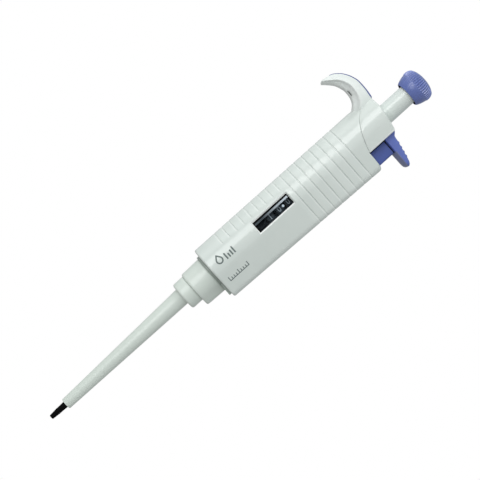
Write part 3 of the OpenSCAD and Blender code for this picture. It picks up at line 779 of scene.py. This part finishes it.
# ---------------------------------------------------------------- ejector
def build_button():
    lo, hi = low_mm("ejector_button"), high_mm("ejector_button")
    x0, x1 = lo.x, lo.x + 7.6
    side_y = (hi.y - lo.y) / 2
    ridges = (14.0, 16.4, 18.8, 21.1)
    stations = [x0, x0 + 0.25, 9.2, 9.7, 10.1, 10.6, 11.4, 12.2, 13.1]
    for r in ridges:
        stations += [r - 0.75, r - 0.45, r - 0.15, r + 0.15, r + 0.45, r + 0.75]
    stations += [22.5, 23.3, 24.0, 24.5, 24.9, 25.2, 25.4, 25.52]
    top_line = [(x0, 211.7), (9.2, 211.3), (10.1, 210.3), (10.8, 209.85), (13, 209.6), (15, 209.15), (18,
                                                                                                      208.5),
                (21, 207.85), (23, 207.4), (24.2, 207.0), (24.9, 206.6), (25.3, 206.15), (25.52, 205.6)]
    under_line = [(x0, 203.9), (22, 203.75), (23.8, 203.85), (24.6, 204.15), (25.1, 204.6), (25.4, 205.1),
                  (25.52, 205.45)]
    side_line = [(x0, 205.5), (16, 205.35), (22, 205.2), (24.5, 205.15), (25.52, 205.5)]

    rings = []
    for x in sorted(stations):
        top, under, side = along(top_line, x), along(under_line, x), along(side_line, x)
        bump = sum(0.34 * max(0, 1 - ((x - r) / 0.75) ** 2) for r in ridges)
        top += bump
        width = side_y * (1 - 0.2 * smoothstep(x, 23.6, 25.6))
        h = top - side
        half = [(0, top), (0.8, top), (0.93, top - 0.06 * h), (0.985, top - 0.16 * h), (1, top - 0.32 * h),
                (1, side + 0.1 * h), (0.985, side), (0.94, side - 0.08), (0.8, lerp(side, under, 0.3)),
                (0.62, lerp(side, under, 0.6)), (0.42, lerp(side, under, 0.88)), (0.2, under), (0, under)]
        rings.append(both_sides([(x, f * width, z) for f, z in half]))
    paddle = skin_mesh("paddle", rings, 36)
    half_d, r = 5.5, 0.8
    outline = []
    for cx, cy, a0 in ((x1 - r, half_d - r, 0), (x0 + r, half_d - r, 90), (x0 + r, r - half_d, 180),
                       (x1 - r, r - half_d, 270)):
        for k in range(7):
            a = math.radians(a0 + 15 * k)
            outline.append((cx + r * math.cos(a), cy + r * math.sin(a)))
    shade_z = 204.3
    heights = [lo.z, lo.z + 0.4] + [lerp(lo.z + 0.4, shade_z, k / 7) for k in range(1, 8)] + [207.5]
    rings = []
    for i, z in enumerate(heights):
        ring = [(x, y, z) for x, y in outline]
        rings.append(inset_ring(ring, 0.3) if i == 0 else ring)
    mesh = combine(skin_mesh("block", rings, 36), paddle, "UNION")
    arm_hi = high_mm("ejector_arm")
    pin = high_mm("ejector_guide_pin")
    hole = skin_mesh("hole", lathe([(1.0, lo.z - 1), (1.0, lo.z + 14)], 32, cx=pin.x - 0.9), 36)
    slot = box_mesh("slot", arm_hi.x - 1.62, arm_hi.x + 0.02, arm_hi.y + 0.02, lo.z - 1, arm_hi.z + 0.1)
    for cutter in (hole, slot):
        mesh = combine(mesh, cutter, "DIFFERENCE")
    smooth(mesh, 34)
    add_object("ejector_paddle", mesh, BLUE_DEEP, "ejector", ["ejector_button"])

    # Painted shade on the block, painted shadow under the paddle and along the cap's edge, and painted
    # reflection on the paddle's underside.
    def finish_of(x, y, z, normal):
        if x < x1 + 0.01 and abs(y) < half_d + 0.01 and z < along(side_line, x):
            return 2 if z > shade_z or x < x0 + 0.4 else 1
        return 3 if x > x1 and normal.z < -0.15 else 0

    paint(mesh, (BLOCK_PAINTED_SHADE, BLUE_SHADOW, UNDERSIDE_PAINTED_REFLECTION), finish_of)


def hood_ring(z, drawn):
    """Section of the hood: a round with a smaller lobe over the arm."""
    f = (z - 91) / 11
    stations = [("arc", -180 + 4 * k) for k in range(34)] + [("line", k / 5) for k in range(6)]
    stations += [("corner", k / 8) for k in range(1, 9)]
    half = section_half(z, stations, lerp(8.62, 8.86, f), lerp(10.3, 10.62, f), 3.8, 3.8)
    ring = mirrored(half[:-1] + [(half[-1][0], 0, z)])
    ring.pop(len(half))
    return inset_ring(ring, drawn) if drawn else ring


COLLAR_BORE_R = 5.53


def build_hood():
    lo, hi = low_mm("ejector_hood").z, high_mm("ejector_hood").z
    steps = [(lo, 0.7), (lo + 0.09, 0.46), (lo + 0.28, 0.24), (lo + 0.6, 0.08), (lo + 1.0, 0.02), (lo + 1.5,
                                                                                                   0)]
    steps += [(lerp(lo + 1.5, hi - 0.35, k / 6), 0) for k in range(1, 7)]
    steps += [(hi - 0.18, 0.04), (hi - 0.05, 0.14), (hi, 0.32)]
    rings = [hood_ring(z, d) for z, d in steps]
    bore = COLLAR_BORE_R
    angles = [math.atan2(p[1], p[0]) for p in rings[0]]
    for z in (hi, lo):
        rings.append([(bore * math.cos(a), bore * math.sin(a), z) for a in angles])
    arm = low_mm("ejector_arm")
    slot = box_mesh("slot", arm.x, arm.x + 1.6, 2.5, arm.z, hi + 1)
    mesh = combine(skin_mesh("hood", rings, 30, wrap=True), slot, "DIFFERENCE")
    smooth(mesh, 30)
    add_object("ejector_collar", mesh, SLEEVE_WHITE, "ejector", ["ejector_hood"])


def build_sleeve():
    lo, hi = low_mm("ejector_sleeve").z, high_mm("ejector_sleeve").z
    collar_z, neck_r, collar_r, lean = 84.7, 6.3, 7.28, 0.85
    bore_low, bore_high, wall_low, wall_high = 2.2, 3.7, 2.8, 4.3
    collar_x = -lean / 2
    outline = [(bore_low, lo), (2.5, lo), (2.68, lo + 0.08), (2.78, lo + 0.22), (wall_low, lo + 0.4)]
    outline += [(lerp(wall_low, wall_high, f), lerp(lo + 0.4, collar_z - 0.25, f), -lean * f)
                for f in (k / 14 for k in range(1, 15))]
    outline += [(4.36, collar_z - 0.1, -lean), (4.5, collar_z, -lean), (5.2, collar_z, collar_x),
                (neck_r, collar_z, collar_x)]
    outline += [(lerp(neck_r, collar_r, 1 - left), collar_z + gone, collar_x) for gone,
                left in quarter_round(6)[1:]]
    outline += [(collar_r, lerp(collar_z + 1, hi - 0.3, k / 3), collar_x) for k in range(1, 4)]
    outline += [(7.22, hi - 0.1, collar_x), (7.0, hi, collar_x), (COLLAR_BORE_R, hi),
                (COLLAR_BORE_R, collar_z + 2), (bore_high, collar_z + 2, -lean)]
    outline += [(lerp(bore_high, bore_low, f), lerp(collar_z + 2, lo + 0.4, f), -lean * (1 - f))
                for f in (k / 8 for k in range(1, 9))]
    mesh = skin_mesh("sleeve", lathe(outline), 30, wrap=True)
    add_object("ejector_tube", mesh, SLEEVE_WHITE, "ejector", ["ejector_sleeve"])


build_button()
build_hood()
build_sleeve()


# ---------------------------------------------------------------- tip cone
def build_tip():
    high = high_mm("tip_cone").z
    outline = [(0.35, 0.0), (0.95, 0.0), (1.08, 0.06), (1.14, 0.2), (1.2, 0.6), (1.3, 2.0), (1.43, 3.85),
               (1.47, 3.95),
               (1.5, 4.05), (1.5, 5.5), (1.5, 6.95), (1.52, 7.05), (1.6, 8.4), (1.72, 11), (1.85, 16.5),
               (1.3, 16.5),
               (1.3, high), (0.61, high), (0.61, 2.4), (0.35, 2.4)]
    mesh = skin_mesh("tip", lathe(outline, 72), 30, wrap=True)
    add_object("nozzle_cone", mesh, TIP_BLACK, "handle", ["tip_cone"])


build_tip()


# ---------------------------------------------------------------- counter
def wheel_outline(low, high, bore, ring_r, band):
    return [(bore, low + 0.15), (bore + 0.2, low), (WHEEL_R - 0.15, low), (WHEEL_R - 0.03, low + 0.06),
            (WHEEL_R, low + 0.2),
            (WHEEL_R, low + band / 2), (WHEEL_R, low + band - 0.2), (WHEEL_R - 0.03, low + band - 0.06),
            (WHEEL_R - 0.15, low + band), (ring_r, low + band), (ring_r, high - 0.1), (ring_r - 0.1, high),
            (bore + 0.15, high), (bore, high - 0.15)]


def carry_ring(n_teeth, root, tip, low, high, bore, turn):
    """Ring of straight-flanked teeth, as one closed torus."""
    per = 8
    n = n_teeth * per
    shape = (root, root, root, lerp(root, tip, 0.85), tip, tip, lerp(root, tip, 0.85), root)
    rings = []
    for drawn, z in ((0.05, low), (0, low + 0.06), (0, high - 0.06), (0.05, high)):
        ring = []
        for k in range(n):
            a = 2 * math.pi * (k - 4.5) / n + math.radians(turn)
            r = shape[k % per] - drawn
            ring.append((r * math.cos(a), r * math.sin(a), z))
        rings.append(ring)
    turned = [2 * math.pi * (k - 4.5) / n + math.radians(turn) for k in range(n)]
    for z in (high, low):
        rings.append([(bore * math.cos(a), bore * math.sin(a), z) for a in turned])
    return skin_mesh("ring", rings, 30, wrap=True)


def glyph_mesh(text, height):
    curve = bpy.data.curves.new("glyph", "FONT")
    curve.body = text
    curve.size = height / 0.7
    curve.align_x = "CENTER"
    curve.extrude = 0.02
    curve.offset = 0.02
    curve.resolution_u = 4
    obj = bpy.data.objects.new("glyph", curve)
    bpy.context.scene.collection.objects.link(obj)
    graph = bpy.context.evaluated_depsgraph_get()
    mesh = bpy.data.meshes.new_from_object(obj.evaluated_get(graph))
    bpy.data.objects.remove(obj)
    return mesh


def build_digits(name, body, centre_z, first):
    """Ten numbers round a wheel, reading along Z; first is the number in the window at rest."""
    whole = bmesh.new()
    height, window_turn = 2.9, -96.5
    for d in range(10):
        glyph = glyph_mesh(str(d), height)
        bm = bmesh.new()
        bm.from_mesh(glyph)
        for k in range(1, 8):
            cut = height * k / 8
            geometry = bm.verts[:] + bm.edges[:] + bm.faces[:]
            bmesh.ops.bisect_plane(bm, geom=geometry, plane_co=(0, cut, 0), plane_no=(0, 1, 0))
        turn = math.radians(window_turn - 36 * ((d - first) % 10))
        for v in bm.verts:
            along, up = v.co.x * 0.9, v.co.y - height / 2
            a = turn - up / WHEEL_R
            r = WHEEL_R + 0.015 + v.co.z
            v.co = Vector((r * math.cos(a), r * math.sin(a), centre_z + along)) * MM
        bm.to_mesh(glyph)
        bm.free()
        whole.from_mesh(glyph)
    bmesh.ops.recalc_face_normals(whole, faces=whole.faces)
    mesh = bpy.data.meshes.new(name)
    whole.to_mesh(mesh)
    whole.free()
    add_object(name, mesh, DIGIT, body)


def build_wheels():
    for node, body, first in (("tens_wheel", "tens", 1), ("ones_wheel", "ones", 0), ("tenths_wheel",
                                                                                     "volume_drive", 0)):
        lo, hi = low_mm(node).z, high_mm(node).z
        band = 3.7
        geared = node != "tenths_wheel"
        bore = 3.06 if geared else 3.01
        ring_r = 4.4
        outline = wheel_outline(lo, hi if not geared else lo + band + 0.15, bore, ring_r, band)
        mesh = skin_mesh(node, lathe(outline, 120), 30, wrap=True)
        if geared:
            ring = carry_ring(20, 4.68, 5.51, lo + band - 0.02, hi, bore, 135 + 9)
            mesh = combine(mesh, ring, "UNION")
            smooth(mesh, 30)
        add_object(node + "_body", mesh, WHEEL, body, [node])
        build_digits(node.split("_")[0] + "_digits", body, lo + band / 2, first)


build_wheels()


def build_lens():
    """Clear curved window, let into the opening in the handle."""
    x0, x1 = WINDOW_X[1] + 0.05, WINDOW_X[2] - 0.05
    z0, z1 = WINDOW_Z[1] + 0.08, WINDOW_Z[2] - 0.08
    rings = []
    for k in range(9):
        z = lerp(z0, z1, k / 8)
        ring = []
        for r, start, end in ((LENS_FACE_R, x0, x1), (LENS_BACK_R, x1, x0)):
            ring += [(x, -math.sqrt(r ** 2 - x * x), z) for x in (lerp(start, end,
                                                                       q / 14) for q in range(15))]
        rings.append(ring)
    add_object("counter_lens", skin_mesh("lens", rings, 30), CLEAR, "handle",
               ["window_lens"])


build_lens()


def curved_bars(bars):
    """Thin bars of (x0, x1, z0, z1) laid on the lens's curved face."""
    verts, faces, steps = [], [], 6
    for left, right_side, low, high in bars:
        start = len(verts)
        for k in range(steps + 1):
            x = lerp(left, right_side, k / steps)
            for r in (LENS_FACE_R + 0.04, LENS_FACE_R - 0.05):
                y = -math.sqrt(r * r - x * x)
                verts += [(x, y, low), (x, y, high)]
        for k in range(steps):
            a, b = start + 4 * k, start + 4 * k + 4
            faces += [(a, b, b + 1, a + 1), (a + 2, a + 3, b + 3, b + 2), (a, a + 2, b + 2, b), (a + 1,
                                                                                                 b + 1,
                                                                                                 b + 3,
                                                                                                 a + 3)]
        for a in (start, start + 4 * steps):
            faces.append((a, a + 1, a + 3, a + 2))
    return verts, faces


def build_lens_border():
    """Dark border round the lens's face, painted shade for the recess round it, and a strip with a painted
    reflection along its hook side.
    """
    x0, x1 = WINDOW_X[1] + 0.07, WINDOW_X[2] - 0.07
    z0, z1 = WINDOW_Z[1] + 0.1, WINDOW_Z[2] - 0.1
    dark, bright = x0 + 0.85, x0 + 1.85
    bars = [(x0, dark, z0, z1), (x1 - 0.22, x1, z0, z1), (dark, x1 - 0.22, z0, z0 + 0.3), (dark, x1 - 0.22,
                                                                                           z1 - 0.35, z1)]
    add_object("lens_painted_shade_border", build_mesh("border", *curved_bars(bars), 40), TIP_BLACK, "handle")
    edge = build_mesh("edge", *curved_bars([(dark + 0.04, bright, z0 + 0.34, z1 - 0.39)]), 40)
    add_object("lens_painted_reflection", edge, SHEEN, "handle")


build_lens_border()


def surface_patch(points, thick, depth_of):
    """Thin patch over a convex outline of (x, z) points, as deep at each x as depth_of says."""
    n = len(points)
    verts = [(x, depth_of(x) + back, z) for back in (0, thick) for x, z in points]
    faces = [tuple(range(n)), tuple(range(2 * n - 1, n - 1, -1))]
    faces += [(j, (j + 1) % n, n + (j + 1) % n, n + j) for j in range(n)]
    return verts, faces


def decimal_dot():
    """Decimal point printed on the inside of the lens, between the ones and the tenths."""
    points = [(-0.52 + 0.6 * math.cos(a), 148.7 + 0.6 * math.sin(a))
              for a in (2 * math.pi * k / 24 for k in range(24))]
    inside_r = LENS_BACK_R - 0.05
    mesh = build_mesh("dot", *surface_patch(points, 0.05, lambda x: -math.sqrt(inside_r ** 2 - x * x)), 40)
    add_object("decimal_dot", mesh, DIGIT, "handle")


decimal_dot()


# ---------------------------------------------------------------- printed marks, generic shapes only
def strip_band(outer_line, inner_line, closed):
    """Band between two lines of (x, z) points, raised off the front of the handle."""
    lift, n = 0.025, len(outer_line)
    verts = []
    for line in (outer_line, inner_line):
        for x, z in line:
            verts.append((x, front_y(x, z) - lift, z))
            verts.append((x, front_y(x, z) + 0.02, z))
    faces = []
    for k in range(n if closed else n - 1):
        q = (k + 1) % n
        a, b, c, d = 2 * k, 2 * q, 2 * n + 2 * q, 2 * n + 2 * k
        faces += [(a, b, c, d), (a + 1, d + 1, c + 1, b + 1), (a, a + 1, b + 1, b), (d, c, c + 1, d + 1)]
    if not closed:
        for k in (0, n - 1):
            faces.append((2 * k, 2 * k + 1, 2 * n + 2 * k + 1, 2 * n + 2 * k))
    return verts, faces


def add_marks():
    verts, faces = [], []

    def take(part):
        base = len(verts)
        verts.extend(part[0])
        faces.extend(tuple(i + base for i in f) for f in part[1])

    def bar(x0, x1, z0, z1):
        steps = max(2, int(abs(x1 - x0) / 0.5))
        xs = [lerp(x0, x1, k / steps) for k in range(steps + 1)]
        take(strip_band([(x, z0) for x in xs], [(x, z1) for x in xs], False))

    drop_z, drop_x = 109.6, -1.6
    outer, inner = [], []
    for k in range(48):
        a = 2 * math.pi * k / 48
        point = max(0, math.cos(a)) ** 6
        r = 1.9 + 1.1 * point
        outer.append((drop_x - r * math.cos(a), drop_z + 1.9 * math.sin(a) * (1 - 0.25 * point)))
        r = 1.2 + 0.75 * point
        inner.append((drop_x - r * math.cos(a), drop_z + 1.2 * math.sin(a) * (1 - 0.3 * point)))
    take(strip_band(outer, inner, True))
    for k, reach in enumerate((3.4, 2.2, 2.8, 3.6)):
        z = 112.7 + 1.55 * k
        bar(0.6 - reach, 0.6, z, z + 0.75)
    for k in range(9):
        z = 106.9 + 1.42 * k
        bar(8.9 - (1.9 if k % 4 == 0 else 1.1), 8.9, z, z + 0.42)
    bar(8.9, 9.3, 106.9, 118.68)
    add_object("printed_marks", build_mesh("marks", verts, faces, 40), INK, "handle")


add_marks()


# ---------------------------------------------------------------- springs
def coil_mesh(name, node, coil_r, wire, turns):
    lo, hi = low_mm(node), high_mm(node)
    cx = (lo.x + hi.x) / 2
    steps, sides = 40, 10
    last = turns * steps
    flat = steps // 2
    rise = (hi.z - lo.z - 2 * wire) / (last - 2 * flat)
    rings = []
    for i in range(last + 1):
        a = 2 * math.pi * i / steps
        z = lo.z + wire + rise * min(max(i - flat, 0), last - 2 * flat)
        ring = []
        for k in range(sides):
            b = 2 * math.pi * k / sides
            r = coil_r + wire * math.cos(b)
            ring.append((cx + r * math.cos(a), r * math.sin(a), z + wire * math.sin(b)))
        rings.append(ring)
    return skin_mesh(name, rings, 60)


def build_springs():
    blow = high_mm("blowout_spring").z - low_mm("blowout_spring").z
    for name, node, coil_r, wire, turns, joint, keep in (
            ("main_coil", "main_spring", 2.55, 0.28, 9, "plunger_press", 0.44),
            ("blowout_coil", "blowout_spring", 3.85, 0.38, 5, "plunger_press", (blow - 2.7) / blow),
            ("ejector_coil", "ejector_spring", 1.8, 0.24, 7, "ejector_press", 0.716)):
        mesh = coil_mesh(name, node, coil_r, wire, turns)
        obj = add_object(name, mesh, SPRING, "handle", [node])
        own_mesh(obj)


build_springs()


# ---------------------------------------------------------------- carried-over pieces
# The bottom plate takes the darker white: painted shade under the handle.
CARRIED = {
    "chassis": (BLACK, 0.15), "thread_nut": (BRASS, 0.2), "stem_guide": (GREY, 0.15),
    "bottom_plate": (WHITE_PAINTED_SHADE, 0.12),
    "barrel": (GREY, 0.15), "barrel_nut": (GREY, 0.2), "piston_seal": (PTFE, 0.05), "o_ring": (RUBBER, 0),
    "seal_retainer": (STEEL, 0.08), "pinion_shaft": (STEEL, 0.08), "ejector_guide_pin": (STEEL, 0.15),
    "volume_spindle": (BRASS, 0.06), "upper_pinion": (GEAR, 0.04), "lower_pinion": (GEAR, 0.04),
    "drive_rod": (STEEL, 0.15), "stop_collar": (STEEL, 0.15), "piston_holder": (GREY, 0.15),
    "piston": (STEEL, 0.06), "ejector_arm": (STEEL, 0.2),
}
for node_name, (mat, width) in CARRIED.items():
    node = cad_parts[node_name]
    node.data.materials.clear()
    node.data.materials.append(mat)
    if width:
        bevel = node.modifiers.new("edge", "BEVEL")
        bevel.width = width * MM
        bevel.segments = 2
        bevel.limit_method = "ANGLE"
        bevel.angle_limit = math.radians(40)


# ---------------------------------------------------------------- floor, light and camera
def emission_material(name, seen, bounced):
    """Seen as one plain pale tone by the camera, and as soft fill by everything else."""
    mat, nodes, links, bsdf = node_tree(name)
    nodes.remove(bsdf)
    path = nodes.new("ShaderNodeLightPath")
    strength = remap(nodes, links, path.outputs["Is Camera Ray"], bounced, seen, 0, 1)
    glow = nodes.new("ShaderNodeEmission")
    glow.inputs["Color"].default_value = (1, 1, 1, 1)
    links.new(strength, glow.inputs["Strength"])
    links.new(glow.outputs["Emission"], nodes["Material Output"].inputs["Surface"])
    mat.cycles.emission_sampling = "NONE"
    return mat


def build_floor():
    n, size, z = 12, 3.0, -0.03
    verts = [(size * (2 * i / n - 1), size * (2 * j / n - 1), z) for i in range(n + 1) for j in range(n + 1)]
    faces = [(i * (n + 1) + j, (i + 1) * (n + 1) + j, (i + 1) * (n + 1) + j + 1, i * (n + 1) + j + 1)
             for i in range(n) for j in range(n)]
    mesh = bpy.data.meshes.new("floor")
    mesh.from_pydata(verts, [], faces)
    mesh.materials.append(emission_material("floor_pale", 1.0, 0.38))
    floor = bpy.data.objects.new("floor", mesh)
    bpy.context.scene.collection.objects.link(floor)


build_floor()

world = bpy.data.worlds.new("studio")
bpy.context.scene.world = world
world.use_nodes = True
tree = world.node_tree
tree.nodes.clear()
world_out = tree.nodes.new("ShaderNodeOutputWorld")
ray = tree.nodes.new("ShaderNodeLightPath")
pale = tree.nodes.new("ShaderNodeBackground")
pale.inputs["Color"].default_value = (1, 1, 1, 1)
pale.inputs["Strength"].default_value = 1.0
fill = tree.nodes.new("ShaderNodeBackground")
fill.inputs["Color"].default_value = (0.95, 1.0, 0.985, 1)
direction = tree.nodes.new("ShaderNodeTexCoord")
split = tree.nodes.new("ShaderNodeSeparateXYZ")
tree.links.new(direction.outputs["Generated"], split.inputs["Vector"])
total = tree.nodes.new("ShaderNodeMath")
total.operation = "ADD"
for k, (dark_end, bright_end, base, extra) in enumerate(((0.2, -1.0, 0.5, 0.38), (-0.2, 1.0, 0.0, 0.05))):
    lobe = tree.nodes.new("ShaderNodeMapRange")
    lobe.interpolation_type = "SMOOTHSTEP"
    for socket, value in (("From Min", dark_end), ("From Max", bright_end), ("To Min", base), ("To Max",
                                                                                               base + extra)):
        lobe.inputs[socket].default_value = value
    tree.links.new(split.outputs["X"], lobe.inputs["Value"])
    tree.links.new(lobe.outputs["Result"], total.inputs[k])
tree.links.new(total.outputs["Value"], fill.inputs["Strength"])
blend = tree.nodes.new("ShaderNodeMixShader")
tree.links.new(ray.outputs["Is Camera Ray"], blend.inputs["Fac"])
tree.links.new(fill.outputs["Background"], blend.inputs[1])
tree.links.new(pale.outputs["Background"], blend.inputs[2])
tree.links.new(blend.outputs["Shader"], world_out.inputs["Surface"])


def area_light(name, place, target, width, height, power):
    data = bpy.data.lights.new(name, "AREA")
    data.shape = "RECTANGLE"
    data.size, data.size_y = width, height
    data.energy = power
    lamp = bpy.data.objects.new(name, data)
    lamp.location = place
    ahead = (Vector(target) - Vector(place)).normalized()
    side = ahead.cross(Vector((0, 0, 1))).normalized()
    rise = side.cross(ahead)
    turn = Matrix((side, rise, -ahead)).transposed()
    lamp.rotation_euler = turn.to_euler()
    bpy.context.scene.collection.objects.link(lamp)


MIDDLE = (0, 0, 0.12)
area_light("key_panel", (-0.58, -0.85, 0.2), MIDDLE, 0.5, 0.9, 2.65)
area_light("strip", (-0.24, -0.62, 0.15), MIDDLE, 0.03, 0.62, 0.16)
area_light("front_panel", (0.1, -1.0, 0.2), MIDDLE, 0.6, 0.9, 0.45)
area_light("side_panel", (-0.95, -0.2, 0.2), MIDDLE, 0.5, 0.9, 0.6)
area_light("upper_panel", (-0.24, -0.7, 0.75), MIDDLE, 0.5, 0.5, 0.55)
area_light("top_panel", (0.1, -0.3, 1.0), MIDDLE, 0.5, 0.5, 0.25)
area_light("hook_fill", (-0.07, -0.1, 0.245), (-0.024, 0, 0.208), 0.05, 0.05, 0.004)
area_light("under_panel", (-0.3, -0.6, -0.02), (0, 0, 0.2), 0.5, 0.1, 0.75)

camera_data = bpy.data.cameras.new("camera")
camera = bpy.data.objects.new("camera", camera_data)
bpy.context.scene.collection.objects.link(camera)
DISTANCE, FIELD = 0.740, 0.2281
camera_data.sensor_width = 36
camera_data.lens = 36 * DISTANCE / FIELD
camera_data.clip_start = 0.01
camera_data.clip_end = 20
ROLL = math.radians(47.81)
right = Vector((math.cos(ROLL), 0, math.sin(ROLL)))
above = Vector((-math.sin(ROLL), 0, math.cos(ROLL)))
camera.matrix_world = Matrix.Translation((-0.0022, -DISTANCE, 0.123)) @ \
    Matrix((right, above, Vector((0, -1, 0)))).transposed().to_4x4()
bpy.context.scene.camera = camera
bpy.context.scene.view_settings.view_transform = "Standard"
bpy.context.scene.view_settings.look = "None"
